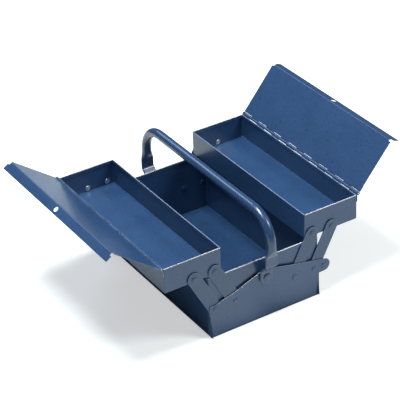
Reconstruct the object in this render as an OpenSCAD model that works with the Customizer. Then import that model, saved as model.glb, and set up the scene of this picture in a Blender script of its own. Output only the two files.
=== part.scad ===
// Cantilever tool box: a deep base box and two trays that swing up and out
// on flat arms, each tray closed by its own hinged lid, with a folding handle.
// Millimetres. X is across the box, Y is along it and Z is up.
// The origin is the centre of the underside. The box is drawn open.

/* [Base box] */
// Width of the base box across its long walls
base_w = 220; // [190:1:250]
// Height of the base box to its rim
base_h = 115; // [100:1:140]
// Length over the two end plates
body_l = 354; // [280:1:450]
// Thickness of the base box sheet
base_t = 1.2; // [0.8:0.1:2]
// Radius of the folded corners of the base box
base_corner_r = 3; // [2:0.5:6]

/* [Hems] */
// Height of the folded hem along each rim
hem_h = 6; // [3:0.5:10]
// How far a hem stands inside its wall
hem_t = 1; // [0.6:0.1:1.6]

/* [End plates] */
// Thickness of an end plate
plate_t = 1.2; // [0.8:0.1:2]
// Radius of the crown round the handle rivet
crown_r = 14; // [12:0.5:18]
// How far the plate's edge stands above the outer arm pivots on its plain side
edge_over_pivot = 7; // [4:0.5:10]
// How far the shoulder on the stop lobe's side stands above the arm pivots
stop_shoulder_rise = 27; // [20:0.5:34]
// How far the shoulder on the plain side stands above the arm pivots
plain_shoulder_rise = 21; // [14:0.5:27]
// Distance of the shoulders from the centre, as a share of the base's width
shoulder_share = 0.236; // [0.16:0.004:0.3]
// Radius of the stop lobe
lobe_r = 12; // [10:0.5:15]

/* [Arms] */
// Distance of the inner arm pivots from the centre, as a share of the base's width
arm_inner_share = 0.27; // [0.25:0.002:0.28]
// Distance between inner and outer arm pivots, as a share of the base's width
arm_spacing_share = 0.18; // [0.16:0.002:0.19]
// Distance between an arm's two pivots
arm_len = 80.6; // [74:0.1:90]
// Width of an arm
arm_w = 24; // [16:0.5:26]
// Thickness of an arm
arm_t = 2; // [1.5:0.1:3]
// Lean of the open arms from upright, in degrees
open_lean = 27.5; // [20:0.5:32]
// Gap on each face of an arm
arm_gap = 0.55; // [0.4:0.05:1]

/* [Trays] */
// Height of a tray
tray_h = 47; // [35:1:60]
// Thickness of the tray sheet
tray_t = 1; // [0.8:0.1:1.5]
// Radius of the folded corners of a tray
tray_corner_r = 2; // [1.5:0.5:4]
// Height of the arm pivots above a tray's underside
tray_pivot_h = 7; // [6.5:0.1:12]
// Distance of a tray's inner arm pivot from its inner wall, as a share of the base's width
tray_pivot_share = 0.065; // [0.06:0.001:0.08]
// Gap between the closed trays
mid_gap = 0.8; // [0.6:0.1:4]
// How far a closed tray stays inside the base's side
tray_inset = 1.1; // [0.6:0.1:5]
// Gap between a closed tray and the base rim
seat_gap = 0.3; // [0.3:0.1:1]

/* [Lids] */
// Thickness of the lid sheet
lid_t = 1; // [0.8:0.1:1.5]
// Width of the lip along a lid's free edge
lip_w = 17; // [14:0.5:20]
// Angle that the lip is bent through, in degrees
lip_bend = 70; // [60:1:85]
// Gap between the lips of the closed lids
lip_gap = 4.2; // [3:0.1:8]
// Gap between a closed lid and its tray
lid_gap = 0.5; // [0.4:0.1:1]
// Angle of the open left lid above level, in degrees
left_lid_angle = 37; // [30:1:70]
// Angle of the open right lid above level, in degrees
right_lid_angle = 50; // [30:1:70]
// Radius of the padlock hole in each lip
lock_hole_r = 4.5; // [3:0.1:5]
// Length of the relief notch at each end of a lip
notch_l = 5; // [3:0.5:8]
// Width of the relief notch across the bend
notch_w = 5; // [3:0.5:7]

/* [Lid hinges] */
// Radius of the hinge pin
pin_r = 1.5; // [1:0.1:2]
// Gap between the knuckles and the sheets they turn past
knuckle_clear = 0.4; // [0.3:0.1:0.8]
// Radius of a hinge knuckle
knuckle_r = 3; // [2.6:0.1:4]
// Number of knuckles along a hinge, tray and lid together
knuckles = 15; // [9:2:21]
// Gap between neighbouring knuckles
knuckle_gap = 0.4; // [0.3:0.1:1]
// Thickness of a hinge leaf
leaf_t = 1; // [0.8:0.1:1.2]
// Width of a hinge leaf from the hinge axis
leaf_w = 15; // [10:0.5:20]

/* [Handle] */
// Diameter of the handle tube
tube_d = 17; // [14:0.5:20]
// Wall of the handle tube
tube_wall = 1.5; // [1:0.1:2.5]
// Radius of the handle's bends, to the tube's middle
handle_bend_r = 50; // [30:1:53]
// Clear height between the closed lips and the handle bar
handle_clear = 11.5; // [11:0.5:40]
// How far the handle rivets lie below the base rim
handle_pivot_drop = 34; // [30:1:40]
// Width of the handle's flattened ends
flat_w = 25; // [20:0.5:26]
// Thickness of the handle's flattened ends
flat_t = 3.5; // [2.5:0.1:5]
// Height of the upright flat above its rivet
flat_l = 12; // [8:0.5:20]
// Height over which a flattened end steps out from the end plate
step_l = 20; // [16:1:26]
// Length of a leg's round tube between its taper and its bend
leg_l = 4.3; // [2:0.1:12]
// Length over which the tube flattens
flatten_l = 18; // [12:1:20]
// Gap between an end plate and the round tube of a leg
leg_gap = 10.4; // [8:0.2:16]
// Thickness of the washer behind each handle end
washer_t = 1; // [0.6:0.1:2]
// Radius of the washer behind each handle end
washer_r = 9; // [7:0.5:11]
// Gap between a handle end and its washer, and under its rivet head
handle_gap = 0.1; // [0.1:0.05:0.3]

/* [Rivets] */
// Radius of the arm rivets
rivet_r = 3; // [2.5:0.1:3.5]
// Radius of the handle rivets
handle_rivet_r = 4; // [3:0.1:5]
// Radius of the arm rivets' heads
head_r = 5; // [4.5:0.1:5.5]
// Height of the arm rivets' heads
head_h = 1.3; // [1:0.1:2]
// Radius of the handle rivets' heads
handle_head_r = 7; // [6:0.1:8.5]
// Height of the handle rivets' heads
handle_head_h = 2.2; // [1.5:0.1:3]
// Height of the closed heads behind the end plates
back_head_h = 1.2; // [1:0.1:1.5]
// Radius of the sleeve on each stop rivet
sleeve_r = 5.5; // [4.5:0.1:6.5]
// Distance of the stop along the open arm from its pivot
stop_along = 10; // [6:0.5:14]
// Running clearance of an arm or handle end on its rivet
run_fit = 0.05; // [0.03:0.01:0.1]
// Clearance of the inner arms on their tray rivets
loose_fit = 0.3; // [0.2:0.05:0.5]

/* [Hidden] */
$fn = 96;
// How far a cutting shape runs past what it cuts
cut = 1;
// Height of a taper's end slices
slice = 0.5;
half_l = body_l / 2;
pocket = arm_t + 2 * arm_gap;
wall_d = plate_t + pocket;
box_l = body_l - 2 * wall_d;
arm_d = plate_t + arm_gap;
arm_inner_x = base_w * arm_inner_share;
arm_outer_x = arm_inner_x + base_w * arm_spacing_share;
tray_pivot_in = base_w * tray_pivot_share;
shoulder_x = base_w * shoulder_share;
tray_w = (base_w - mid_gap) / 2 - tray_inset;

// Where the arms stand when the trays are closed, and the height that follows
closed_lean = asin((arm_inner_x - tray_pivot_in - mid_gap / 2) / arm_len);
pivot_z = base_h + seat_gap + tray_pivot_h - arm_len * cos(closed_lean);

// The open tray
tray_x = arm_inner_x + arm_len * sin(open_lean) - tray_pivot_in;
top_pivot_z = pivot_z + arm_len * cos(open_lean);
tray_z = top_pivot_z - tray_pivot_h;

// The lid hinge, measured from the tray's outer wall and rim
hinge_out = knuckle_r + knuckle_clear / 2;
hinge_up = lid_gap + lid_t / 2;
hinge_x = tray_x + tray_w + hinge_out;
hinge_z = tray_z + tray_h + hinge_up;
hinge_clear = knuckle_r + knuckle_clear;
lid_reach = tray_w + hinge_out + (mid_gap - lip_gap) / 2 - lip_w * cos(lip_bend);

// The handle
handle_z = base_h - handle_pivot_drop;
tube_r = tube_d / 2;
lip_top_z = base_h + seat_gap + tray_h + hinge_up + lip_w * sin(lip_bend);
bar_z = lip_top_z + handle_clear + tube_r;
leg_in_d = washer_t + handle_gap;
leg_y = half_l + leg_gap + tube_r;
taper_z = bar_z - handle_bend_r - leg_l - flatten_l;

// The stop stands against the outer edge of the open outer arm
stop_off = arm_w / 2 + sleeve_r + seat_gap;
stop_x = arm_outer_x + stop_along * sin(open_lean) + stop_off * cos(open_lean);
stop_z = pivot_z + stop_along * cos(open_lean) - stop_off * sin(open_lean);

// Slope of the edge from the stop lobe up to its shoulder, in degrees, and
// how far the crown's arc reaches each side of upright
lobe_slope = atan((stop_shoulder_rise - lobe_r) / (stop_x - shoulder_x));
crown_turn = 28;

LEFT = -1;
RIGHT = 1;
FRONT = -1;
REAR = 1;

// Points of an arc round c, from angle a to angle b
function arc(c, r, a, b, n = 12) =
    [for (i = [0 : n]) c + r * [cos(a + (b - a) * i / n), sin(a + (b - a) * i / n)]];

// Places a flat (x, z) outline at one end, from depth d0 to depth d1 inside
// the end plate's outer face. A negative depth is outside the plate.
module at_end(end, d0, d1) {
    y_a = end * (half_l - d0);
    y_b = end * (half_l - d1);
    translate([0, max(y_a, y_b), 0])
        rotate([90, 0, 0])
            linear_extrude(abs(y_a - y_b))
                children();
}

// A rod along Y at (x, z), from depth d0 to depth d1
module rod(end, x, z, r, d0, d1) {
    at_end(end, d0, d1)
        translate([x, z])
            circle(r);
}

// A shallow domed head whose flat face lies at depth d. It rises out of the
// box when out is true and into the box when it is false.
module dome(end, x, z, r, h, d, out = true) {
    turn = (out ? 1 : -1) * end;
    translate([x, end * (half_l - d), z])
        rotate([-90 * turn, 0, 0])
            rotate_extrude()
                polygon([[0, 0], [r, 0], [r, h * 0.35], [r * 0.82, h * 0.75], [r * 0.5, h], [0, h]]);
}

// An upright open box of sheet with rounded corners and a hem round its rim
module sheet_box(w, l, h, t, corner_r) {
    difference() {
        linear_extrude(h)
            round_rect(w, l, corner_r);
        translate([0, 0, t])
            linear_extrude(h - t - hem_h)
                round_rect(w - 2 * t, l - 2 * t, corner_r / 2);
        translate([0, 0, t])
            linear_extrude(h)
                square([w - 2 * (t + hem_t), l - 2 * (t + hem_t)], center = true);
    }
}

module round_rect(w, l, r) {
    x = w / 2 - r;
    y = l / 2 - r;
    polygon(concat(arc([x, y], r, 0, 90, 6), arc([-x, y], r, 90, 180, 6),
        arc([-x, -y], r, 180, 270, 6), arc([x, -y], r, 270, 360, 6)));
}

module base_box() {
    color("steelblue")
        difference() {
            sheet_box(base_w, box_l, base_h, base_t, base_corner_r);
            for (end = [FRONT, REAR], side = [LEFT, RIGHT], x = [arm_inner_x, arm_outer_x])
                rod(end, side * x, pivot_z, rivet_r, wall_d - cut, wall_d + base_t + cut);
        }
}

// An end plate's outline as seen from the front: a crown round the handle
// rivet, two shoulders, and a lobe on the right that carries the stop
module plate_outline() {
    half_w = base_w / 2;
    edge_z = pivot_z + edge_over_pivot;
    stop_shoulder = [shoulder_x, pivot_z + stop_shoulder_rise];
    plain_shoulder = [-shoulder_x, pivot_z + plain_shoulder_rise];
    lobe_top = [stop_x, stop_z] + lobe_r * [sin(lobe_slope), cos(lobe_slope)];
    polygon(concat([[-half_w, 0], [half_w, 0], [half_w, stop_z], [stop_x, stop_z], lobe_top, stop_shoulder],
        arc([0, handle_z], crown_r, 90 - crown_turn, 90 + crown_turn),
        [plain_shoulder, [-arm_outer_x, edge_z], [-half_w, edge_z]]));
    translate([stop_x, stop_z])
        circle(lobe_r);
    translate([arm_outer_x, stop_z - lobe_r])
        square([stop_x - arm_outer_x, lobe_r]);
}

// A pressed plate with flanges along its foot and up both sides, which reach
// back to the base box and leave the pocket that the arms swing in
module end_plate(end) {
    flange_top = pivot_z - arm_w / 2 - 2 * arm_gap;
    color("steelblue")
        rotate([0, 0, end == FRONT ? 0 : 180]) {
            difference() {
                at_end(FRONT, 0, plate_t)
                    plate_outline();
                for (x = [-arm_outer_x, -arm_inner_x, arm_inner_x, arm_outer_x])
                    rod(FRONT, x, pivot_z, rivet_r, -cut, plate_t + cut);
                rod(FRONT, stop_x, stop_z, rivet_r, -cut, plate_t + cut);
                rod(FRONT, 0, handle_z, handle_rivet_r, -cut, plate_t + cut);
            }
            at_end(FRONT, plate_t, wall_d)
                difference() {
                    translate([-base_w / 2, 0])
                        square([base_w, flange_top]);
                    translate([-base_w / 2 + plate_t, plate_t])
                        square([base_w - 2 * plate_t, flange_top]);
                }
        }
}

// The round tube from one leg over the bar to the other, of radius r
module tube_run(r) {
    bar_l = 2 * (leg_y - handle_bend_r);
    for (turn = [0, 180])
        rotate([0, 0, turn]) {
            translate([0, leg_y, bar_z - handle_bend_r])
                rotate([180, 0, 0])
                    cylinder(r = r, h = leg_l);
            translate([0, leg_y - handle_bend_r, bar_z - handle_bend_r])
                rotate([0, 90, 0])
                    rotate([0, 0, 90])
                        rotate_extrude(angle = 90)
                            translate([handle_bend_r, 0])
                                circle(r);
        }
    translate([0, bar_l / 2, bar_z])
        rotate([90, 0, 0])
            cylinder(r = r, h = bar_l);
}

// One flattened end, at the rear. It lies on its washer, steps out to the
// middle of the leg and tapers up to the round tube.
module flat_end() {
    near = half_l + leg_in_d;
    far = leg_y - flat_t / 2;
    step_z = handle_z + flat_l;
    // The step's outer face is lower by this much, so the sheet keeps its thickness
    drop = flat_t * tan(atan((far - near) / step_l) / 2);
    intersection() {
        translate([-flat_w / 2, 0, 0])
            rotate([90, 0, 90])
                linear_extrude(flat_w)
                    polygon([[near, 0], [near, step_z], [far, step_z + step_l], [far, taper_z],
                        [far + flat_t, taper_z], [far + flat_t, step_z + step_l - drop],
                        [near + flat_t, step_z - drop], [near + flat_t, 0]]);
        at_end(REAR, cut, -leg_gap - tube_d)
            difference() {
                union() {
                    translate([0, handle_z])
                        circle(flat_w / 2);
                    translate([-flat_w / 2, handle_z])
                        square([flat_w, bar_z]);
                }
                translate([0, handle_z])
                    circle(handle_rivet_r + run_fit);
            }
    }
    hull() {
        translate([-flat_w / 2, far, taper_z - slice])
            cube([flat_w, flat_t, slice]);
        translate([0, leg_y, taper_z + flatten_l])
            cylinder(r = tube_r, h = slice, $fn = 32);
    }
}

// A bent tube whose two ends are flattened for the rivets
module handle() {
    color("royalblue")
        difference() {
            union() {
                tube_run(tube_r);
                flat_end();
                rotate([0, 0, 180])
                    flat_end();
            }
            tube_run(tube_r - tube_wall);
        }
}

module handle_rivet(end) {
    head_d = -leg_in_d - flat_t - handle_gap;
    color("silver") {
        rod(end, 0, handle_z, handle_rivet_r, head_d, plate_t);
        dome(end, 0, handle_z, handle_head_r, handle_head_h, head_d);
        rod(end, 0, handle_z, handle_head_r, plate_t, plate_t + back_head_h);
    }
}

module handle_washer(end) {
    color("silver")
        at_end(end, -washer_t, 0)
            translate([0, handle_z])
                difference() {
                    circle(washer_r);
                    circle(handle_rivet_r);
                }
}

// The front plate's stop is on the right, the rear plate's on the left
module stop_rivet(end) {
    x = -end * stop_x;
    back = wall_d - arm_gap / 2;
    color("silver") {
        rod(end, x, stop_z, rivet_r, 0, back);
        dome(end, x, stop_z, head_r, head_h, 0);
        rod(end, x, stop_z, head_r, back, back + back_head_h);
    }
}

module stop_sleeve(end) {
    color("gray")
        at_end(end, plate_t, wall_d - arm_gap / 2)
            translate([-end * stop_x, stop_z])
                difference() {
                    circle(sleeve_r);
                    circle(rivet_r);
                }
}

// An open arm that leans out from its base rivet to its tray rivet
module arm(side, end, x, top_fit) {
    color("slategray")
        at_end(end, arm_d, arm_d + arm_t)
            translate([side * x, pivot_z])
                rotate(-side * open_lean)
                    difference() {
                        union() {
                            circle(arm_w / 2);
                            translate([-arm_w / 2, 0])
                                square([arm_w, arm_len]);
                            translate([0, arm_len])
                                circle(arm_w / 2);
                        }
                        circle(rivet_r + run_fit);
                        translate([0, arm_len])
                            circle(rivet_r + top_fit);
                    }
}

module outer_arm(side, end) {
    arm(side, end, arm_outer_x, run_fit);
}

module inner_arm(side, end) {
    arm(side, end, arm_inner_x, loose_fit);
}

// Holds an arm in the pocket between the end plate and the base box
module base_rivet(side, x, end) {
    inner_d = wall_d + base_t;
    color("silver") {
        rod(end, side * x, pivot_z, rivet_r, 0, inner_d);
        dome(end, side * x, pivot_z, head_r, head_h, 0);
        dome(end, side * x, pivot_z, head_r, head_h, inner_d, false);
    }
}

// Holds an arm's upper end against the outside of a tray's end wall
module tray_rivet(side, x, end) {
    at_x = side * (x + arm_len * sin(open_lean));
    outer_d = arm_d - handle_gap;
    inner_d = wall_d + tray_t;
    color("silver") {
        rod(end, at_x, top_pivot_z, rivet_r, outer_d, inner_d);
        dome(end, at_x, top_pivot_z, head_r, head_h, outer_d);
        dome(end, at_x, top_pivot_z, head_r, head_h, inner_d, false);
    }
}

module tray(side) {
    color("steelblue")
        difference() {
            translate([side * (tray_x + tray_w / 2), 0, tray_z])
                sheet_box(tray_w, box_l, tray_h, tray_t, tray_corner_r);
            for (end = [FRONT, REAR], x = [arm_inner_x, arm_outer_x])
                rod(end, side * (x + arm_len * sin(open_lean)), top_pivot_z, rivet_r,
                    wall_d - cut, wall_d + tray_t + cut);
        }
}

// Knuckles numbered from first in steps of two, with a bore for the pin.
// A finger of leaf sheet joins each one to its leaf.
module knuckle_row(first, bore_r) {
    pitch = box_l / knuckles;
    for (i = [first : 2 : knuckles - 1])
        translate([0, -box_l / 2 + i * pitch + knuckle_gap / 2, 0])
            rotate([-90, 0, 0])
                linear_extrude(pitch - knuckle_gap)
                    difference() {
                        union() {
                            circle(knuckle_r);
                            children();
                        }
                        circle(bore_r);
                    }
}

// The leaf on the tray's outer wall. Outlines here are (x, -z) from the axis.
module tray_hinge_leaf(side) {
    face = -side * hinge_out;
    left = min(face, face + side * leaf_t);
    color("lightsteelblue")
        translate([side * hinge_x, 0, hinge_z]) {
            knuckle_row(0, pin_r)
                translate([left, 0])
                    square([leaf_t, hinge_clear + cut]);
            translate([left, -box_l / 2, -leaf_w])
                cube([leaf_t, box_l, leaf_w - hinge_clear]);
        }
}

// Turns a lid's parts from closed, reaching inwards, to the open angle
module open_lid(side, rise) {
    translate([side * hinge_x, 0, hinge_z])
        rotate([0, side * (180 - rise), 0])
            mirror([side == LEFT ? 1 : 0, 0, 0])
                children();
}

// The leaf on top of the closed lid, drawn for the right side
module lid_hinge_leaf(side, rise) {
    color("lightsteelblue")
        open_lid(side, rise) {
            knuckle_row(1, pin_r + run_fit)
                translate([-hinge_clear - cut, -lid_t / 2 - leaf_t])
                    square([hinge_clear + cut, leaf_t]);
            translate([-leaf_w, -box_l / 2, lid_t / 2])
                cube([leaf_w - hinge_clear, box_l, leaf_t]);
        }
}

module hinge_pin(side) {
    color("silver")
        translate([side * hinge_x, -box_l / 2, hinge_z])
            rotate([-90, 0, 0])
                cylinder(r = pin_r, h = box_l);
}

// A flat panel whose free edge is bent up into a lip with a padlock hole,
// drawn closed for the right side, with the hinge axis as its origin
module lid(side, rise) {
    color("steelblue")
        open_lid(side, rise)
            difference() {
                union() {
                    translate([-lid_reach, -box_l / 2, -lid_t / 2])
                        cube([lid_reach - hinge_clear, box_l, lid_t]);
                    translate([-lid_reach, 0, 0])
                        rotate([0, lip_bend, 0]) {
                            translate([-lip_w, -box_l / 2, -lid_t / 2])
                                cube([lip_w, box_l, lid_t]);
                            rotate([90, 0, 0])
                                cylinder(r = lid_t / 2, h = box_l, center = true);
                        }
                }
                for (end = [FRONT, REAR])
                    translate([-lid_reach, end * box_l / 2, 0])
                        cube([notch_w, 2 * notch_l, notch_w * 2], center = true);
                translate([-lid_reach, 0, 0])
                    rotate([0, lip_bend, 0])
                        translate([-lip_w / 2, 0, -lid_t])
                            cylinder(r = lock_hole_r, h = 2 * lid_t);
            }
}

base_box();
end_plate(FRONT);  // end_plate_front
end_plate(REAR);  // end_plate_rear
handle();
handle_rivet(FRONT);  // handle_rivet_front
handle_rivet(REAR);  // handle_rivet_rear
handle_washer(FRONT);  // handle_washer_front
handle_washer(REAR);  // handle_washer_rear
stop_rivet(FRONT);  // stop_rivet_front
stop_rivet(REAR);  // stop_rivet_rear
stop_sleeve(FRONT);  // stop_sleeve_front
stop_sleeve(REAR);  // stop_sleeve_rear
outer_arm(LEFT, FRONT);  // outer_arm_left_front
outer_arm(LEFT, REAR);  // outer_arm_left_rear
inner_arm(LEFT, FRONT);  // inner_arm_left_front
inner_arm(LEFT, REAR);  // inner_arm_left_rear
outer_arm(RIGHT, FRONT);  // outer_arm_right_front
outer_arm(RIGHT, REAR);  // outer_arm_right_rear
inner_arm(RIGHT, FRONT);  // inner_arm_right_front
inner_arm(RIGHT, REAR);  // inner_arm_right_rear
base_rivet(LEFT, arm_outer_x, FRONT);  // base_rivet_left_outer_front
base_rivet(LEFT, arm_outer_x, REAR);  // base_rivet_left_outer_rear
base_rivet(LEFT, arm_inner_x, FRONT);  // base_rivet_left_inner_front
base_rivet(LEFT, arm_inner_x, REAR);  // base_rivet_left_inner_rear
base_rivet(RIGHT, arm_outer_x, FRONT);  // base_rivet_right_outer_front
base_rivet(RIGHT, arm_outer_x, REAR);  // base_rivet_right_outer_rear
base_rivet(RIGHT, arm_inner_x, FRONT);  // base_rivet_right_inner_front
base_rivet(RIGHT, arm_inner_x, REAR);  // base_rivet_right_inner_rear
tray_rivet(LEFT, arm_outer_x, FRONT);  // tray_rivet_left_outer_front
tray_rivet(LEFT, arm_outer_x, REAR);  // tray_rivet_left_outer_rear
tray_rivet(LEFT, arm_inner_x, FRONT);  // tray_rivet_left_inner_front
tray_rivet(LEFT, arm_inner_x, REAR);  // tray_rivet_left_inner_rear
tray_rivet(RIGHT, arm_outer_x, FRONT);  // tray_rivet_right_outer_front
tray_rivet(RIGHT, arm_outer_x, REAR);  // tray_rivet_right_outer_rear
tray_rivet(RIGHT, arm_inner_x, FRONT);  // tray_rivet_right_inner_front
tray_rivet(RIGHT, arm_inner_x, REAR);  // tray_rivet_right_inner_rear
tray(LEFT);  // tray_left
tray(RIGHT);  // tray_right
tray_hinge_leaf(LEFT);  // tray_hinge_leaf_left
tray_hinge_leaf(RIGHT);  // tray_hinge_leaf_right
lid_hinge_leaf(LEFT, left_lid_angle);  // lid_hinge_leaf_left
lid_hinge_leaf(RIGHT, right_lid_angle);  // lid_hinge_leaf_right
hinge_pin(LEFT);  // hinge_pin_left
hinge_pin(RIGHT);  // hinge_pin_right
lid(LEFT, left_lid_angle);  // lid_left
lid(RIGHT, right_lid_angle);  // lid_right
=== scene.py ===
"""A cantilever tool box in blue hammered enamel, open on a pale studio floor."""

import logging
import math
from dataclasses import dataclass
from enum import Enum
from typing import Callable, Sequence

import bmesh
import bpy
from mathutils import Matrix, Vector


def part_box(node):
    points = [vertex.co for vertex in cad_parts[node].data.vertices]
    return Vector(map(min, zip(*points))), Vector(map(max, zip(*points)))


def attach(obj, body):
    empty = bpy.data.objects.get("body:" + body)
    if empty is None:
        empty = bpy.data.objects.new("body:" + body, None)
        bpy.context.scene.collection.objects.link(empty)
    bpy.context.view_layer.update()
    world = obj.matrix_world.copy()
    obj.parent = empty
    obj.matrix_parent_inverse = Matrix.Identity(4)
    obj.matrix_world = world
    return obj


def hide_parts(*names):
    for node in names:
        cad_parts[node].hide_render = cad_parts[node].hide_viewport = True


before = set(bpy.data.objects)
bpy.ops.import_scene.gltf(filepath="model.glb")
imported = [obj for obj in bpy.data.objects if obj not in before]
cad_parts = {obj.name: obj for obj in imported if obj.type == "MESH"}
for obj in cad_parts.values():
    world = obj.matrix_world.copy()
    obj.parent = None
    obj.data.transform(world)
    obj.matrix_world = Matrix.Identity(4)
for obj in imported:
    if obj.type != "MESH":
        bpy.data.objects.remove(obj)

LOG = logging.getLogger("tool_box")
MM = 0.001
# The distance within which two places count as one
NEAR = 0.01 * MM
# The cosine of the angle to an axis within which an edge runs along it
STRAIGHT = 0.999
# The least angle in degrees between two faces that counts as an edge
EDGE_ANGLE = 50
# The mesh attribute that is 1 on narrow edge faces, where paint is worn and a lighter painted highlight is
# laid, and 2 where the pale undercoat colour is laid as a painted highlight and worn-through paint
WEAR_AND_HIGHLIGHT = "edge_wear"

Pair = tuple[float, float]
Point = tuple[float, float, float]
Object = bpy.types.Object
Socket = bpy.types.NodeSocket
Item = bmesh.types.BMVert | bmesh.types.BMEdge | bmesh.types.BMFace
Face = bpy.types.MeshPolygon


class Half(Enum):
    """One half of the box, by the sign of its place along an axis."""

    @property
    def word(self) -> str:
        """The name that the frame uses for it."""
        return self.name.lower()


class Side(Half):
    """The box's two sides, along x."""

    LEFT = -1
    RIGHT = 1


class End(Half):
    """The box's two ends, along y."""

    FRONT = -1
    REAR = 1


class Pick(Enum):
    """What a selection in edit mode is made of."""

    VERT = "VERT"
    EDGE = "EDGE"
    FACE = "FACE"


# How far above level each lid stands open, in degrees
LID_ANGLES = {Side.LEFT: 37, Side.RIGHT: 50}


@dataclass(frozen=True)
class Layout:
    """The sizes that more than one sub-assembly is built to.

    Attributes:
        half_width: Half the base box's width.
        half_length: How far an end plate's outer face is from the middle.
        wall: How far the box's end walls lie inside the end plates' faces.
        box_length: The length of the base box, the trays and the lids.
        inner: How far the inner arms' lower rivets are from the middle.
        outer: The same for the outer arms.
        pivot: The height of the lower rivets.
        reach: The distance between an arm's two rivets.
        lean: How far the open arms lean outwards, in degrees.
        arm_width: An arm's width.
        arm_thick: An arm's thickness.
        arm_depth: How far an arm lies inside the end plate's face.
        hinge: The place of the right lid's hinge, as x and height.
        stop: The place of the front stop rivet, as x and height.
        handle: The height of the handle's rivets.
        sheet: The thickness of the base box and the end plates.
        tray_sheet: The thickness of the trays.
    """

    half_width: float = 110 * MM
    half_length: float = 177 * MM
    wall: float = 4.3 * MM
    box_length: float = 345.4 * MM
    inner: float = 59.4 * MM
    outer: float = 99 * MM
    pivot: float = 55.231 * MM
    reach: float = 80.6 * MM
    lean: float = 27.5
    arm_width: float = 24 * MM
    arm_thick: float = 2 * MM
    arm_depth: float = 1.75 * MM
    hinge: Pair = (194.017 * MM, 167.724 * MM)
    stop: Pair = (119.406 * MM, 55.882 * MM)
    handle: float = 81 * MM
    sheet: float = 1.2 * MM
    tray_sheet: float = 1 * MM

    @property
    def ranks(self) -> tuple[tuple[str, float], tuple[str, float]]:
        """The outer and the inner arms, with how far their lower rivets are from the middle."""
        return ("outer", self.outer), ("inner", self.inner)

    def upper(self, x: float) -> Pair:
        """Where the upper rivet of an open arm is, from its lower rivet's x."""
        lean = math.radians(self.lean)
        return x + self.reach * math.sin(lean), self.pivot + self.reach * math.cos(lean)

    def seat(self, end: End, x: float, height: float) -> Matrix:
        """The place of a piece modelled at an end plate's outer face, with depth along +Y."""
        place = Matrix.Translation((x, end.value * self.half_length, height))
        return place @ Matrix.Rotation(math.pi, 4, "Z") if end is End.REAR else place


# Modelling by hand


def clear_selection() -> None:
    """Go back to object mode and leave nothing selected."""
    if bpy.context.object and bpy.context.object.mode != "OBJECT":
        bpy.ops.object.mode_set(mode="OBJECT")
    bpy.ops.object.select_all(action="DESELECT")


def take(*parts: Object) -> None:
    """Select objects in object mode, with the first of them as the active one.

    Args:
        parts: The objects.
    """
    clear_selection()
    for part in parts:
        part.select_set(True)
    bpy.context.view_layer.objects.active = parts[0]


def open_edit() -> None:
    """Open the active object for editing, with all of it selected."""
    bpy.ops.object.mode_set(mode="EDIT")
    bpy.ops.mesh.select_all(action="SELECT")


def close_edit() -> None:
    """Go back to object mode."""
    bpy.ops.object.mode_set(mode="OBJECT")


def open_primitive(name: str) -> Object:
    """Name the primitive just added, put its place into its mesh and open it for editing.

    Args:
        name: The new object's name.

    Returns:
        The object, in edit mode with all of it selected.
    """
    obj = bpy.context.object
    obj.name = obj.data.name = name
    bpy.ops.object.transform_apply(location=True, rotation=True, scale=True)
    open_edit()
    return obj


def add_block(name: str, centre: Point, size: Point) -> Object:
    """Add a block at its size and place.

    Args:
        name: The new object's name.
        centre: Its middle.
        size: Its length along each axis.

    Returns:
        The object, in edit mode.
    """
    clear_selection()
    bpy.ops.mesh.primitive_cube_add(size=1, location=centre, scale=size)
    return open_primitive(name)


def add_rod(name: str, centre: Point, radius: float, length: float, turn: Point, steps: int) -> Object:
    """Add a rod at its size and place.

    Args:
        name: The new object's name.
        centre: Its middle.
        radius: Its radius.
        length: Its length.
        turn: How it is turned from upright, as Euler angles.
        steps: How many sides it has.

    Returns:
        The object, in edit mode.
    """
    clear_selection()
    bpy.ops.mesh.primitive_cylinder_add(
        vertices=steps, radius=radius, depth=length, location=centre, rotation=turn
    )
    return open_primitive(name)


def trace(name: str, points: Sequence[Point], fill: bool = True) -> Object:
    """Draw a line point by point, and fill it if it is an outline.

    Args:
        name: The new object's name.
        points: The line's corners in order.
        fill: Whether the line is an outline to fill.

    Returns:
        The object, in edit mode with all of it selected.
    """
    clear_selection()
    bpy.ops.mesh.primitive_plane_add(size=MM, location=points[0])
    obj = open_primitive(name)
    bpy.ops.mesh.select_mode(type="VERT")
    bpy.ops.mesh.select_all(action="SELECT")
    bpy.ops.mesh.merge(type="CENTER")
    for here, there in zip(points, points[1:]):
        step = Vector(there) - Vector(here)
        bpy.ops.mesh.extrude_vertices_move(TRANSFORM_OT_translate={"value": step})
    bpy.ops.mesh.select_all(action="SELECT")
    if fill:
        bpy.ops.mesh.edge_face_add()
    return obj


def arc(centre: Pair, radius: float, start: float, stop: float, count: int) -> list[Pair]:
    """The points of an arc from one angle to another, in degrees, one more than it has steps."""
    turns = [math.radians(start + (stop - start) * i / count) for i in range(count + 1)]
    return [(centre[0] + radius * math.cos(a), centre[1] + radius * math.sin(a)) for a in turns]


def pick(kind: Pick, test: Callable[[Item], bool]) -> int:
    """Select what passes a test, in edit mode, and nothing else.

    Args:
        kind: Points, edges or faces.
        test: Says whether one of them is wanted.

    Returns:
        How many were selected.
    """
    mesh = bpy.context.edit_object.data
    bpy.ops.mesh.select_mode(type=kind.value)
    bpy.ops.mesh.select_all(action="DESELECT")
    edit = bmesh.from_edit_mesh(mesh)
    items = {Pick.VERT: edit.verts, Pick.EDGE: edit.edges, Pick.FACE: edit.faces}[kind]
    wanted = [item for item in items if test(item)]
    for item in wanted:
        item.select_set(True)
    edit.select_flush_mode()
    bmesh.update_edit_mesh(mesh)
    return len(wanted)


def level(item: Item, axis: int, at: float) -> bool:
    """Whether every point of an edge or face lies at one place along an axis."""
    return all(abs(v.co[axis] - at) < NEAR for v in item.verts)


def along(edge: bmesh.types.BMEdge, axis: int) -> bool:
    """Whether an edge runs along an axis."""
    step = edge.verts[1].co - edge.verts[0].co
    return step.length > 0 and abs(step[axis]) / step.length > STRAIGHT


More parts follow.
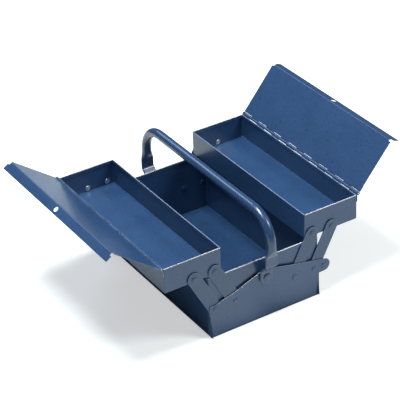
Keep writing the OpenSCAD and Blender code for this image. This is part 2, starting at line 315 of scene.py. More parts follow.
def resize(factor: Point, centre: Point) -> None:
    """Scale what is selected about a point."""
    bpy.ops.transform.resize(value=factor, center_override=centre)


def extrude_faces(step: Point) -> None:
    """Extrude the selected faces by a step."""
    bpy.ops.mesh.extrude_region_move(TRANSFORM_OT_translate={"value": step})


def extrude_edges(step: Point) -> None:
    """Extrude the selected edges by a step."""
    bpy.ops.mesh.extrude_edges_move(TRANSFORM_OT_translate={"value": step})


def bevel(offset: float, segments: int, kind: str = "EDGES") -> None:
    """Round the selected edges, or the selected corners of a flat outline."""
    bpy.ops.mesh.bevel(offset=offset, segments=segments, affect=kind)


def outwards() -> None:
    """Point every face of the object being edited outwards."""
    bpy.ops.mesh.select_all(action="SELECT")
    bpy.ops.mesh.normals_make_consistent(inside=False)


def weld(apart: float) -> None:
    """Merge points of the object being edited that lie closer than this."""
    bpy.ops.mesh.select_all(action="SELECT")
    bpy.ops.mesh.remove_doubles(threshold=apart)


def apply_modifier(obj: Object, kind: str, **settings: object) -> None:
    """Add a modifier with these settings and apply it.

    Args:
        obj: The object, which becomes the active one.
        kind: The modifier's type.
        settings: Its properties by name.
    """
    take(obj)
    modifier = obj.modifiers.new(kind.title(), kind)
    for name, value in settings.items():
        setattr(modifier, name, value)
    bpy.ops.object.modifier_apply(modifier=modifier.name)


def thicken(obj: Object, thickness: float, offset: int) -> None:
    """Give a sheet its thickness, about its middle if the offset is 0 and inwards if it is -1."""
    apply_modifier(obj, "SOLIDIFY", thickness=thickness, offset=offset, use_even_offset=True)


def break_edges(obj: Object, width: float, segments: int = 2, clamp: bool = True) -> None:
    """Take the sharpness off an object's cut edges.

    Args:
        obj: The object.
        width: How wide the rounding is.
        segments: How many faces it has.
        clamp: Whether the rounding gets narrower where edges are short.
    """
    apply_modifier(
        obj,
        "BEVEL",
        width=width,
        segments=segments,
        limit_method="ANGLE",
        angle_limit=math.radians(EDGE_ANGLE),
        use_clamp_overlap=clamp,
    )


def cut(obj: Object, tool: Object) -> None:
    """Cut one object out of another and remove it."""
    apply_modifier(obj, "BOOLEAN", operation="DIFFERENCE", object=tool, solver="EXACT")
    bpy.data.objects.remove(tool)


def join(parts: Sequence[Object]) -> Object:
    """Join objects into the first of them.

    Args:
        parts: The objects.

    Returns:
        The first object, which now holds them all.
    """
    take(*parts)
    bpy.ops.object.join()
    return parts[0]


def copy_of(obj: Object, name: str, place: Matrix) -> Object:
    """Copy an object with a mesh of its own, and put the copy's place into its mesh.

    Args:
        obj: The object to copy.
        name: The copy's name.
        place: Where the copy goes, from where the object is.

    Returns:
        The copy.
    """
    clear_selection()
    twin = obj.copy()
    twin.data = obj.data.copy()
    twin.name = twin.data.name = name
    bpy.context.scene.collection.objects.link(twin)
    twin.matrix_world = place
    take(twin)
    bpy.ops.object.transform_apply(location=True, rotation=True, scale=True)
    if place.determinant() < 0:
        open_edit()
        outwards()
        close_edit()
    return twin


def settle(pattern: Object, name: str, place: Matrix) -> Object:
    """Put a pattern's only copy in its place and remove the pattern.

    Args:
        pattern: The piece as it was modelled.
        name: The finished piece's name.
        place: Where it goes.

    Returns:
        The finished piece.
    """
    piece = copy_of(pattern, name, place)
    bpy.data.objects.remove(pattern)
    return piece


def turned(name: str, rings: Sequence[Pair], steps: int = 28, bored: bool = False) -> Object:
    """Turn a piece about the Y axis, ring by ring.

    Args:
        name: The object's name.
        rings: Pairs of a ring's radius and its place along Y. A bored piece's rings go once round
            its wall, and a solid piece's go from one end to the other.
        steps: How many points a ring has.
        bored: Whether the piece has a hole through it.

    Returns:
        The object.
    """
    radius, place = rings[0]
    clear_selection()
    bpy.ops.mesh.primitive_circle_add(
        vertices=steps,
        radius=radius,
        fill_type="NOTHING" if bored else "NGON",
        location=(0, place, 0),
        rotation=(math.pi / 2, 0, 0),
    )
    obj = open_primitive(name)
    extrude = extrude_edges if bored else extrude_faces
    for to_radius, to_place in [*rings[1:], rings[0]] if bored else rings[1:]:
        extrude((0, to_place - place, 0))
        resize((to_radius / radius, 1, to_radius / radius), (0, to_place, 0))
        radius, place = to_radius, to_place
    if bored:
        weld(0.001 * MM)
    outwards()
    close_edit()
    return obj


def face_out(obj: Object, near: Point, outward: Point) -> None:
    """Turn an open sheet over if its face nearest a point looks the wrong way.

    Args:
        obj: The sheet, in object mode.
        near: A point on it.
        outward: The way that its face there should look.
    """
    face = min(obj.data.polygons, key=lambda f: (f.center - Vector(near)).length)
    if face.normal.dot(Vector(outward)) < 0:
        take(obj)
        open_edit()
        bpy.ops.mesh.flip_normals()
        close_edit()


def mark_wear(obj: Object, narrow: float, rubbed_highlight: Callable[[Face], bool]) -> None:
    """Mark the narrow faces along an object's edges and rims, where paint wears first and where a lighter
    painted highlight is laid.

    Args:
        obj: The object.
        narrow: The widest that such a face is.
        rubbed_highlight: Says which of them take the pale undercoat colour as a painted highlight and
            worn-through paint.
    """
    mesh = obj.data
    layer = mesh.attributes.get(WEAR_AND_HIGHLIGHT) or mesh.attributes.new(WEAR_AND_HIGHLIGHT, "FLOAT", "FACE")
    for face in mesh.polygons:
        corners = [mesh.vertices[i].co for i in face.vertices]
        longest = max((a - b).length for a, b in zip(corners, corners[1:] + corners[:1]))
        worn = face.area < longest * narrow
        layer.data[face.index].value = worn + float(worn and rubbed_highlight(face))


def smooth(obj: Object, angle: float) -> None:
    """Shade an object's bends smooth and keep its flats flat.

    Args:
        obj: The object.
        angle: The largest angle in degrees between two faces that is shaded smooth.
    """
    take(obj)
    bpy.ops.object.shade_smooth_by_angle(angle=math.radians(angle))
    apply_modifier(obj, "WEIGHTED_NORMAL", keep_sharp=True, weight=80)


# Finishes


class Graph:
    """A material's nodes, joined one by one to its surface shader."""

    def __init__(self, tree: bpy.types.NodeTree) -> None:
        """Keep a material's node tree and find its surface shader."""
        self.tree = tree
        self.surface = next(n for n in tree.nodes if n.type == "BSDF_PRINCIPLED")

    def feed(self, target: Socket, source: Socket | float | Point) -> None:
        """Join an input to a socket, or give it a number or a colour.

        Args:
            target: The input.
            source: What it gets.
        """
        if isinstance(source, Socket):
            self.tree.links.new(source, target)
        else:
            target.default_value = (*source, 1) if isinstance(source, tuple) else source

    def fill(self, node: bpy.types.Node, inputs: dict[str, Socket | float | Point]) -> None:
        """Feed a node's inputs by name."""
        for name, source in inputs.items():
            self.feed(node.inputs[name], source)

    def add(self, kind: str, inputs: dict[str, Socket | float], **settings: object) -> bpy.types.Node:
        """Add a node.

        Args:
            kind: The node's type.
            inputs: What its inputs get, by name.
            settings: Its properties by name.

        Returns:
            The node.
        """
        node = self.tree.nodes.new(kind)
        for name, value in settings.items():
            setattr(node, name, value)
        self.fill(node, inputs)
        return node

    def place(self) -> Socket:
        """The place on the object."""
        return self.add("ShaderNodeTexCoord", {}).outputs["Object"]

    def attribute(self, name: str) -> Socket:
        """The value of a mesh attribute."""
        return self.add("ShaderNodeAttribute", {}, attribute_name=name).outputs["Fac"]

    def noise(self, place: Socket, patch: float, detail: float, rough: float) -> Socket:
        """Cloudy noise about 0.5, by its patches' width and its finer layers' number and strength."""
        inputs = {"Vector": place, "Scale": 1 / patch, "Detail": detail, "Roughness": rough}
        return self.add("ShaderNodeTexNoise", inputs).outputs["Fac"]

    def cells(self, place: Socket, cell: float) -> Socket:
        """The distance to the nearest middle of the soft cells in a hammered finish."""
        inputs = {"Vector": place, "Scale": 1 / cell, "Smoothness": 0.6}
        return self.add("ShaderNodeTexVoronoi", inputs, feature="SMOOTH_F1").outputs["Distance"]

    def stretch(self, value: Socket, low: float, high: float, start: float = 0, stop: float = 1) -> Socket:
        """Stretch the part of a value from low to high over the span from start to stop."""
        inputs = {"Value": value, "From Min": low, "From Max": high, "To Min": start, "To Max": stop}
        return self.add("ShaderNodeMapRange", inputs, clamp=True).outputs["Result"]

    def multiply(self, a: Socket, b: Socket | float) -> Socket:
        """Multiply a value by another or by a number.

        Args:
            a: The value.
            b: The other value or the number.

        Returns:
            Their product.
        """
        node = self.add("ShaderNodeMath", {}, operation="MULTIPLY")
        self.feed(node.inputs[0], a)
        self.feed(node.inputs[1], b)
        return node.outputs["Value"]

    def blend(self, a: Socket, b: Socket, share: float) -> Socket:
        """One value with a share of another."""
        inputs = {"Factor": share, "A": a, "B": b}
        return self.add("ShaderNodeMix", inputs, data_type="FLOAT").outputs["Result"]

    def tint(self, share: Socket, first: Socket | Point, second: Point) -> Socket:
        """Mix two colours.

        Args:
            share: The share of the second colour.
            first: The first colour, plain or from a socket.
            second: The second colour.

        Returns:
            The mixed colour.
        """
        node = self.add("ShaderNodeMix", {"Factor": share}, data_type="RGBA")
        colours = [s for s in node.inputs if s.type == "RGBA"]
        self.feed(colours[0], first)
        self.feed(colours[1], second)
        return next(s for s in node.outputs if s.type == "RGBA")

    def bump(self, height: Socket, depth: float) -> Socket:
        """A surface normal tilted by a height from 0 to 1, where 1 stands this far above 0."""
        inputs = {"Strength": 1.0, "Distance": depth, "Height": height}
        return self.add("ShaderNodeBump", inputs).outputs["Normal"]


@dataclass(frozen=True)
class Finish:
    """A finish that builds its own material.

    Attributes:
        name: The material's name.
    """

    name: str

    def material(self) -> bpy.types.Material:
        """The finish's material, built once.

        Returns:
            The material.
        """
        found = bpy.data.materials.get(self.name)
        if found:
            return found
        made = bpy.data.materials.new(self.name)
        made.use_nodes = True
        self.lay(Graph(made.node_tree))
        return made

    def lay(self, graph: Graph) -> None:
        """Join the finish's nodes to the surface shader."""
        raise NotImplementedError


@dataclass(frozen=True)
class Enamel(Finish):
    """Stoved enamel on sheet steel, with a fine mottle, worn edges, and a painted highlight along its edges
    and rims.

    Attributes:
        deep: The darker colour of the mottle.
        light: The lighter colour of the mottle.
        rough: The roughness where the paint is smoothest.
        matt: How much rougher it is elsewhere.
        mottle: The width of a mottle patch.
        cloud: The width of the slow drift in its colour.
        cell: The width of a hammered cell.
        relief: How far the paint's skin rises and falls.
        coat: The weight of the clear gloss on top.
        gloss: The roughness of that gloss.
        drift: The share of the slow drift in the colour.
        wear: How much of an edge is worn, from 0 to 1.
        scuff: The width of a scuff on a worn edge.
        primer: The pale undercoat colour, laid on marked rims as a painted highlight and worn-through
            paint.
        bare: The colour of the bare steel in a scuff.
    """

    deep: Point
    light: Point
    rough: float = 0.27
    matt: float = 0.12
    mottle: float = 4 * MM
    cloud: float = 45 * MM
    cell: float = 2.5 * MM
    relief: float = 0.03 * MM
    coat: float = 0.25
    gloss: float = 0.12
    drift: float = 0.45
    wear: float = 0.35
    scuff: float = 3 * MM
    primer: Point = (0.5, 0.54, 0.58)
    bare: Point = (0.33, 0.35, 0.38)

    def lay(self, graph: Graph) -> None:
        """Lay the mottled paint, its worn edges with their painted highlight, and its skin.

        Args:
            graph: The material's nodes.
        """
        place = graph.place()
        patches = graph.noise(place, self.mottle, 3.0, 0.55)
        drift = graph.noise(place, self.cloud, 2.0, 0.5)
        tone = graph.stretch(graph.blend(patches, drift, self.drift), 0.3, 0.7)
        edges = graph.attribute(WEAR_AND_HIGHLIGHT)
        # Narrow edge faces are painted a lighter blue: partly paint worn thin, partly a painted highlight
        # standing in for the rims' glint.
        thin_and_highlight = tuple(min(1.0, 1.8 * c + 0.12) for c in self.light)
        paint = graph.tint(graph.multiply(edges, 0.75), graph.tint(tone, self.deep, self.light), thin_and_highlight)
        # Faces marked 2 take the pale undercoat colour, a painted highlight along rims as well as
        # worn-through paint.
        paint = graph.tint(graph.stretch(edges, 1.0, 2.0), paint, self.primer)
        scuffs = graph.stretch(graph.noise(place, self.scuff, 4.0, 0.65), 0.62 - 0.2 * self.wear, 0.7)
        worn = graph.multiply(edges, scuffs)
        skin = graph.blend(graph.cells(place, self.cell), patches, 0.5)
        surface = {
            "Base Color": graph.tint(worn, paint, self.bare),
            "Metallic": graph.multiply(worn, 0.9),
            "Roughness": graph.stretch(patches, 0.3, 0.7, self.rough, self.rough + self.matt),
            "Normal": graph.bump(skin, self.relief),
            "Coat Weight": self.coat,
            "Coat Roughness": self.gloss,
            "Specular IOR Level": 0.5,
        }
        graph.fill(graph.surface, surface)


@dataclass(frozen=True)
class Steel(Finish):
    """Bare or plated steel, with turning marks and a little tarnish.

    Attributes:
        bright: The colour of the clean metal.
        dull: The colour of the tarnish.
        rough: The roughness of the clean metal.
        tarnished: How much rougher the tarnish is.
        stain: The width of a patch of tarnish.
        mark: The width of a turning mark.
        depth: How deep the marks are.
    """

    bright: Point
    dull: Point
    rough: float
    tarnished: float = 0.25
    stain: float = 6 * MM
    mark: float = 0.5 * MM
    depth: float = 0.01 * MM

    def lay(self, graph: Graph) -> None:
        """Lay the metal, its tarnish and its marks.

        Args:
            graph: The material's nodes.
        """
        place = graph.place()
        stain = graph.stretch(graph.noise(place, self.stain, 4.0, 0.6), 0.42, 0.75)
        surface = {
            "Base Color": graph.tint(stain, self.bright, self.dull),
            "Roughness": graph.stretch(stain, 0, 1, self.rough, self.rough + self.tarnished),
            "Normal": graph.bump(graph.noise(place, self.mark, 3.0, 0.6), self.depth),
            "Metallic": 1.0,
        }
        graph.fill(graph.surface, surface)


@dataclass(frozen=True)
class FloorPaint(Finish):
    """Matt pale paint that the camera sees as white where it isn't in shadow.

    Attributes:
        dark: The darker colour of its clouds.
        pale: The lighter colour of its clouds.
        cloud: The width of a cloud.
        lift: How strongly it glows for the camera alone.
    """

    dark: Point = (0.79, 0.86, 0.85)
    pale: Point = (0.81, 0.88, 0.87)
    cloud: float = 1 / 3
    lift: float = 0.55

    def lay(self, graph: Graph) -> None:
        """Lay the paint and its glow.

        Args:
            graph: The material's nodes.
        """
        cloud = graph.noise(graph.place(), self.cloud, 2.0, 0.5)
        seen = graph.add("ShaderNodeLightPath", {}).outputs["Is Camera Ray"]
        surface = {
            "Base Color": graph.tint(cloud, self.dark, self.pale),
            "Roughness": graph.stretch(cloud, 0, 1, 0.9, 1.0),
            "Specular IOR Level": 0.0,
            "Emission Color": (1, 1, 1),
            "Emission Strength": graph.multiply(seen, self.lift),
        }
        graph.fill(graph.surface, surface)


BODY_PAINT = Enamel("body_enamel", (0.014, 0.048, 0.123), (0.025, 0.069, 0.166), wear=0.7)
LID_PAINT = Enamel("lid_enamel", (0.016, 0.051, 0.131), (0.027, 0.071, 0.172))
ARM_PAINT = Enamel("arm_enamel", (0.017, 0.052, 0.117), (0.027, 0.07, 0.153), rough=0.32)
HANDLE_PAINT = Enamel(
    "handle_enamel",
    (0.016, 0.048, 0.122),
    (0.021, 0.058, 0.142),
    rough=0.26,
    coat=0.5,
    relief=0.012 * MM,
    wear=0.2,
)
HINGE_PAINT = Enamel("hinge_enamel", (0.016, 0.05, 0.125), (0.027, 0.07, 0.16), rough=0.3, wear=0.7)
RIVET_STEEL = Steel("rivet_steel", (0.55, 0.56, 0.58), (0.2, 0.21, 0.23), rough=0.18)
PIN_STEEL = Steel("pin_steel", (0.5, 0.52, 0.54), (0.24, 0.24, 0.25), rough=0.3)


@dataclass(frozen=True)
class Role:
    """What a finished piece stands for in the frame.

    Attributes:
        node: The CAD node that it replaces.
        body: The CAD body that it moves with.
        slot: The record's material slot; not used.
    """

    node: str
    body: str
    slot: str

    def dress(
        self,
        obj: Object,
        *finishes: Finish,
        narrow: float = 0.6 * MM,
        smoothed: float = 35,
        rubbed_highlight: Callable[[Face], bool] = lambda face: False,
    ) -> Object:
        """Give a finished piece its wear and painted edge highlight, its finishes and its place in the
        frame.

        Args:
            obj: The piece.
            finishes: Its finishes, in the order of its face slots.
            narrow: The widest face that counts as an edge where paint wears.
            smoothed: The largest angle in degrees between two faces that is shaded smooth.
            rubbed_highlight: Says which of its edges take the pale undercoat colour as a painted highlight
                and worn-through paint.

        Returns:
            The piece.
        """
        mark_wear(obj, narrow, rubbed_highlight)
        smooth(obj, smoothed)
        for finish in finishes:
            obj.data.materials.append(finish.material())
        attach(obj, self.body)
        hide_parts(self.node)
        return obj


Spot = tuple[Role, Matrix]


# Sheet metal


@dataclass
class Pan:
    """An open box folded from sheet, with a hem rolled inwards round its rim.

    Attributes:
        node: The CAD node that it stands for.
        body: The CAD body that it moves with.
        sheet: The sheet's thickness.
        corner: The radius of its upright corners.
        fold: The radius outside the fold round its foot.
        hem: The hem's height.
        hem_sheet: How far the hem stands inside the wall.
        hem_edge: The rounding of the hem's cut edge, as pairs from its inner corner.
        hem_gap: The gap between the cut edge and the wall.
        hem_tuck: How far below the cut edge the sheet meets the wall.
    """

    node: str
    body: str
    sheet: float
    corner: float
    fold: float
    hem: float = 6 * MM
    hem_sheet: float = 1 * MM
    hem_edge: tuple[Pair, ...] = ((0, -0.4 * MM), (-0.1 * MM, -0.1 * MM), (-0.35 * MM, 0))
    hem_gap: float = 0.05 * MM
    hem_tuck: float = 0.1 * MM

    @property
    def roll(self) -> float:
        """The radius of the roll at the hem's top."""
        return (self.sheet + self.hem_sheet) / 2

    def rim(self) -> list[Pair]:
        """The sheet's path over the hem, as pairs of the distance inside the wall and the depth."""
        path = arc((self.roll, self.roll), self.roll, 210, 360, 5)
        path += [(2 * self.roll + across, self.hem + down) for across, down in self.hem_edge]
        return path + [(self.sheet + self.hem_gap, self.hem), (self.sheet, self.hem + self.hem_tuck)]

    def foot(self) -> list[Pair]:
        """The sheet's path round the inner fold, as pairs of the distance inside and the height."""
        return arc((self.fold, self.fold), self.fold - self.sheet, 180, 270, 2)

    def build(self) -> list[Object]:
        """Fold the pan from a block.

        Returns:
            The pan's object.
        """
        low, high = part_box(self.node)
        centre, half = (low + high) / 2, (high - low) / 2
        obj = add_block(self.node + "_folded", centre, high - low)
        pick(Pick.FACE, lambda f: level(f, 2, high.z))
        bpy.ops.mesh.delete(type="ONLY_FACE")
        pick(Pick.EDGE, lambda e: along(e, 2))
        bevel(self.corner, 5)
        pick(Pick.EDGE, lambda e: level(e, 2, low.z))
        bevel(self.fold, 4)
        pick(Pick.EDGE, lambda e: level(e, 2, high.z))
        bpy.ops.transform.translate(value=(0, 0, -self.roll))
        depth, height = 0.0, high.z - self.roll
        path = [(inside, high.z - drop) for inside, drop in self.rim()]
        path += [(inside, low.z + up) for inside, up in self.foot()]
        for inside, target in path:
            extrude_edges((0, 0, target - height))
            shrink = [(size - inside) / (size - depth) for size in half.xy]
            resize((*shrink, 1), (centre.x, centre.y, target))
            depth, height = inside, target
        bpy.ops.mesh.edge_face_add()
        outwards()
        close_edit()

        def end_rim(face: Face) -> bool:
            """Whether a face lies on top of an end wall's rim."""
            over_end = abs(face.center.y - centre.y) > half.y - 2 * self.roll
            return over_end and face.center.z > high.z - self.roll and face.normal.z > 0.2

        # The tops of the end rims take the pale undercoat colour, a painted highlight along them.
        return [Role(self.node, self.body, "body_paint").dress(obj, BODY_PAINT, rubbed_highlight=end_rim)]


@dataclass
class EndPlate:
    """A pressed plate with a crown, two shoulders, a stop lobe and flanges.

    Attributes:
        layout: The sizes shared with the rest of the box.
        end: Which end of the box it closes.
        flange_top: The height of its side flanges.
        crown: The crown's radius.
        crown_turn: How far the crown's arc reaches each side of upright, in degrees.
        shoulder: How far the shoulders are from the middle.
        plain_rise: How far the plain shoulder stands above the arm rivets.
        stop_rise: The same for the shoulder on the stop's side.
        edge_rise: The same for the edge beyond the outer arm.
        edge_drop: The height over which that edge comes down to its side flange.
        lobe: The stop lobe's radius.
        soft: How far the shoulders' corners are rounded.
        fold: The radius of the flanges' folds.
        corner: The radius where two flanges meet.
        broken: How wide its cut edges are rounded.
    """

    layout: Layout
    end: End
    flange_top: float = 42.131 * MM
    crown: float = 14 * MM
    crown_turn: float = 28
    shoulder: float = 51.92 * MM
    plain_rise: float = 21 * MM
    stop_rise: float = 27 * MM
    edge_rise: float = 7 * MM
    edge_drop: float = 2 * MM
    lobe: float = 12 * MM
    soft: float = 5 * MM
    fold: float = 1.8 * MM
    corner: float = 1.5 * MM
    broken: float = 0.32 * MM

    def shoulders(self) -> list[Pair]:
        """The corners of its upper edge that are rounded, from right to left."""
        pivot, outer = self.layout.pivot, self.layout.outer
        places = (self.shoulder, -self.shoulder, -outer)
        rises = (self.stop_rise, self.plain_rise, self.edge_rise)
        return [(x, pivot + rise) for x, rise in zip(places, rises)]

    def outline(self) -> list[Pair]:
        """The plate's outline seen from the front, as pairs of x and height."""
        half, top, turn = self.layout.half_width, self.flange_top, self.crown_turn
        stop_x, stop_z = self.layout.stop
        stop_shoulder, *rest = self.shoulders()
        slope = math.degrees(math.atan((self.stop_rise - self.lobe) / (stop_x - self.shoulder)))
        points = [(-half, 0.0), (half, 0.0), (half, top), (half, stop_z - self.lobe)]
        points += [*arc((stop_x, stop_z), self.lobe, -90, 90 - slope, 14), stop_shoulder]
        points += [*arc((0, self.layout.handle), self.crown, 90 - turn, 90 + turn, 8), *rest]
        return points + [(-half, rest[-1][1]), (-half, top + self.edge_drop), (-half, top)]

    def build(self) -> list[Object]:
        """Press the plate from its outline.

        Returns:
            The plate's object.
        """
        obj = trace("plate_pattern", [(x, 0, z) for x, z in self.outline()])

        def beside(item: Item) -> bool:
            """Whether an edge lies along one of the plate's two sides."""
            return all(abs(abs(v.co.x) - self.layout.half_width) < NEAR for v in item.verts)

        def flanged(edge: bmesh.types.BMEdge) -> bool:
            """Whether an edge lies where the plate has a flange."""
            low = all(v.co.z < self.flange_top + NEAR for v in edge.verts)
            return beside(edge) and low or level(edge, 2, 0)

        for x, z in self.shoulders():
            pick(Pick.VERT, lambda v: (v.co - Vector((x, 0, z))).length < NEAR)
            bevel(self.soft, 5, "VERTICES")
        pick(Pick.EDGE, flanged)
        extrude_edges((0, self.layout.wall, 0))
        pick(Pick.EDGE, lambda e: level(e, 1, 0) and flanged(e))
        bevel(self.fold, 4)
        pick(Pick.EDGE, lambda e: along(e, 1) and level(e, 2, 0) and beside(e))
        bevel(self.corner, 4)
        outwards()
        close_edit()
        face_out(obj, (0, 0, self.layout.pivot), (0, -1, 0))
        thicken(obj, self.layout.sheet, -1)
        break_edges(obj, self.broken, clamp=False)
        node = f"end_plate_{self.end.word}"
        plate = settle(obj, node + "_pressed", self.layout.seat(self.end, 0, 0))

        def plain_slope(face: Face) -> bool:
            """Whether a face lies along the upper edge on the side without the stop."""
            return face.normal.x * self.end.value > 0.2 and face.normal.z > 0.5

        # The upper edge on the side without the stop takes the pale undercoat colour, a painted highlight
        # along that edge.
        return [Role(node, "base", "body_paint").dress(plate, BODY_PAINT, rubbed_highlight=plain_slope)]


@dataclass
class Lid:
    """A flat panel with a bent lip, end notches and a padlock hole.

    Attributes:
        layout: The sizes shared with the rest of the box.
        side: Which tray it closes.
        sheet: The sheet's thickness.
        start: How far from the hinge its panel starts.
        reach: How far from the hinge its lip is bent.
        lip: The lip's width.
        bend: The angle of the lip, in degrees.
        round_bend: The radius of the bend, to the middle of the sheet.
        notch: The length and the width of a notch.
        notch_corner: The radius of a notch's corners.
        hole: The padlock hole's radius.
        broken: How wide its cut edges are rounded.
    """

    layout: Layout
    side: Side
    sheet: float = 1 * MM
    start: float = 3.4 * MM
    reach: float = 104.186 * MM
    lip: float = 17 * MM
    bend: float = 70
    round_bend: float = 1.8 * MM
    notch: float = 5 * MM
    notch_corner: float = 1 * MM
    hole: float = 4.5 * MM
    broken: float = 0.2 * MM

    def on_lip(self, share: float) -> Pair:
        """The x and the height of a place on the lip, at a share of its width from the bend."""
        lean = math.radians(self.bend)
        return -self.reach - share * self.lip * math.cos(lean), share * self.lip * math.sin(lean)

    def profile(self) -> list[Pair]:
        """The sheet's path from the hinge to the lip's edge, as pairs of x and height."""
        back = self.round_bend * math.tan(math.radians(self.bend / 2))
        bend = arc((back - self.reach, self.round_bend), self.round_bend, -90, -90 - self.bend, 5)
        return [(-self.start, 0.0), *bend, self.on_lip(1)]

    def place(self) -> Matrix:
        """The matrix that opens the closed right lid to this lid's place."""
        sign = self.side.value
        x, z = self.layout.hinge
        turn = Matrix.Rotation(math.radians(sign * (180 - LID_ANGLES[self.side])), 4, "Y")
        return Matrix.Translation((sign * x, 0, z)) @ turn @ Matrix.Scale(sign, 4, (1, 0, 0))

    def build(self) -> list[Object]:
        """Bend the lid from its profile and cut it.

        Returns:
            The lid's object.
        """
        length = self.layout.box_length
        obj = trace("lid_pattern", [(x, -length / 2, z) for x, z in self.profile()], fill=False)
        extrude_edges((0, length, 0))
        close_edit()
        face_out(obj, (-self.reach / 2, 0, 0), (0, 0, 1))
        thicken(obj, self.sheet, 0)
        for end in End:
            at = (-self.reach, end.value * length / 2, 0)
            tool = add_block("notch_cutter", at, (self.notch, 2 * self.notch, 2 * self.notch))
            pick(Pick.EDGE, lambda e: along(e, 2))
            bevel(self.notch_corner, 4)
            cut(obj, tool)
        x, z = self.on_lip(0.5)
        turn = (0, math.radians(self.bend), 0)
        cut(obj, add_rod("hole_cutter", (x, 0, z), self.hole, 4 * self.sheet, turn, 40))
        break_edges(obj, self.broken)
        node = f"lid_{self.side.word}"
        lid = settle(obj, node + "_bent", self.place())
        return [Role(node, f"{self.side.word}_lid", "lid_paint").dress(lid, LID_PAINT, narrow=0.35 * MM)]


# Arms, rivets and washers


@dataclass
class Arms:
    """The eight flat arms that carry the trays.

    Attributes:
        layout: The sizes shared with the rest of the box.
        broken: How wide their edges are rounded.
    """

    layout: Layout
    broken: float = 0.35 * MM

    def pattern(self) -> Object:
        """Shape one upright arm behind the end plate's face, with its lower rivet at the origin.

        Returns:
            The arm's object.
        """
        sizes = self.layout
        centre = (0, sizes.arm_depth + sizes.arm_thick / 2, sizes.reach / 2)
        size = (sizes.arm_width, sizes.arm_thick, sizes.reach + sizes.arm_width)
        obj = add_block("arm_pattern", centre, size)
        pick(Pick.EDGE, lambda e: along(e, 1))
        bevel(sizes.arm_width / 2 - NEAR, 14)
        weld(3 * NEAR)
        outwards()
        close_edit()
        break_edges(obj, self.broken, 3)
        return obj

    def build(self) -> list[Object]:
        """Copy the arm to its eight places.

        Returns:
            The arms' objects.
        """
        pattern = self.pattern()
        made = []
        for side in Side:
            for rank, x in self.layout.ranks:
                body = f"{side.word}_{rank}_arms"
                for end in End:
                    lean = Matrix.Rotation(math.radians(side.value * end.value * -self.layout.lean), 4, "Y")
                    place = self.layout.seat(end, side.value * x, self.layout.pivot) @ lean
                    node = f"{rank}_arm_{side.word}_{end.word}"
                    arm = copy_of(pattern, node + "_bar", place)
                    made.append(Role(node, body, "arm_paint").dress(arm, ARM_PAINT))
        bpy.data.objects.remove(pattern)
        return made


@dataclass(frozen=True)
class Head:
    """A rivet's head.

    Attributes:
        radius: Its radius.
        rise: Its height.
        domed: Whether it is domed or flat.
    """

    radius: float = 5 * MM
    rise: float = 1.3 * MM
    domed: bool = True

    def rings(self, seat: float, outward: int) -> list[Pair]:
        """Its rings from the top down to its seat.

        Args:
            seat: Where it sits, along Y.
            outward: -1 if it rises towards -Y and 1 if it rises towards +Y.

        Returns:
            Pairs of a radius and a place along Y.
        """
        dome = ((0.2, 1.0), (0.5, 0.96), (0.75, 0.84), (0.9, 0.66), (0.98, 0.42), (1.0, 0.25), (1.0, 0.0))
        flat = ((0.9, 1.0), (0.97, 0.92), (1.0, 0.75), (1.0, 0.0))
        shape = dome if self.domed else flat
        return [(self.radius * across, seat + outward * self.rise * up) for across, up in shape]


